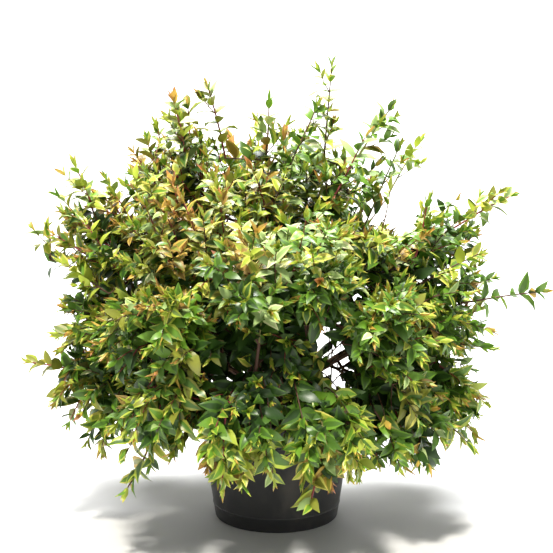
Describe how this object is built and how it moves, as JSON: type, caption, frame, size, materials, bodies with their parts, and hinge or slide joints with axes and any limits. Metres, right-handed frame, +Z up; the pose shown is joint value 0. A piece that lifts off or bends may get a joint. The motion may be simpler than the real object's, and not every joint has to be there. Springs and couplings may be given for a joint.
{
  "type": "potted kaleidoscope abelia",
  "caption": "Rounded variegated abelia shrub in a plain round nursery pot, with arching boughs, weeping lower foliage and long young shoots.",
  "frame": {"origin": "middle of the pot's flat underside, on the ground", "axes": "+Z up the stem, -Y the front that the picture shows, +X to the right of that front"},
  "size_m": [0.7619, 0.6746, 0.6882],
  "materials": {
    "leaves": "glossy green leaves with lime to yellow margins",
    "young_leaves": "young leaves in lime, orange and bronze",
    "bark": "thin flaking red-brown bark",
    "potting_mix": "damp bark and peat crumbs",
    "pot_plastic": "matt charcoal moulded plastic"
  },
  "bodies": {
    "root": {"bough_back_centre": "bark", "bough_back_left": "bark", "bough_back_right": "bark", "bough_front_centre": "bark", "bough_front_left": "bark", "bough_front_low": "bark", "bough_front_right": "bark", "bough_front_upper_left": "bark", "bough_left": "bark", "bough_left_shoulder": "bark", "bough_right": "bark", "bough_top_centre": "bark", "bough_top_left": "bark", "bough_top_right": "bark", "bough_upper_right": "bark", "foliage_back_centre": "leaves", "foliage_back_low_centre": "leaves", "foliage_back_low_left": "leaves", "foliage_back_low_right": "leaves", "foliage_back_top": "leaves", "foliage_back_upper_left": "leaves", "foliage_back_upper_right": "leaves", "foliage_front_centre": "leaves", "foliage_front_centre_right": "leaves", "foliage_front_left": "leaves", "foliage_front_low_centre": "leaves", "foliage_front_low_left": "leaves", "foliage_front_low_right": "leaves", "foliage_front_middle": "leaves", "foliage_front_right": "leaves", "foliage_front_upper_left": "leaves", "foliage_left_low": "leaves", "foliage_left_middle": "leaves", "foliage_left_shoulder": "leaves", "foliage_right_low": "leaves", "foliage_right_middle": "leaves", "foliage_right_outer_low": "leaves", "foliage_right_shoulder": "leaves", "foliage_top_centre": "leaves", "foliage_top_left": "leaves", "foliage_top_right": "leaves", "foliage_upper_right": "leaves", "pot": "pot_plastic", "potting_mix": "potting_mix", "shoot_back": "young_leaves", "shoot_back_left": "young_leaves", "shoot_back_upper_right": "young_leaves", "shoot_front_low_left": "young_leaves", "shoot_front_low_right": "young_leaves", "shoot_left": "young_leaves", "shoot_left_shoulder": "young_leaves", "shoot_left_upper": "young_leaves", "shoot_right": "young_leaves", "shoot_right_shoulder": "young_leaves", "shoot_top": "young_leaves", "shoot_top_centre": "young_leaves", "shoot_top_left": "young_leaves", "shoot_top_left_outer": "young_leaves", "shoot_top_right": "young_leaves", "stem": "bark"}
  },
  "joints": []
}
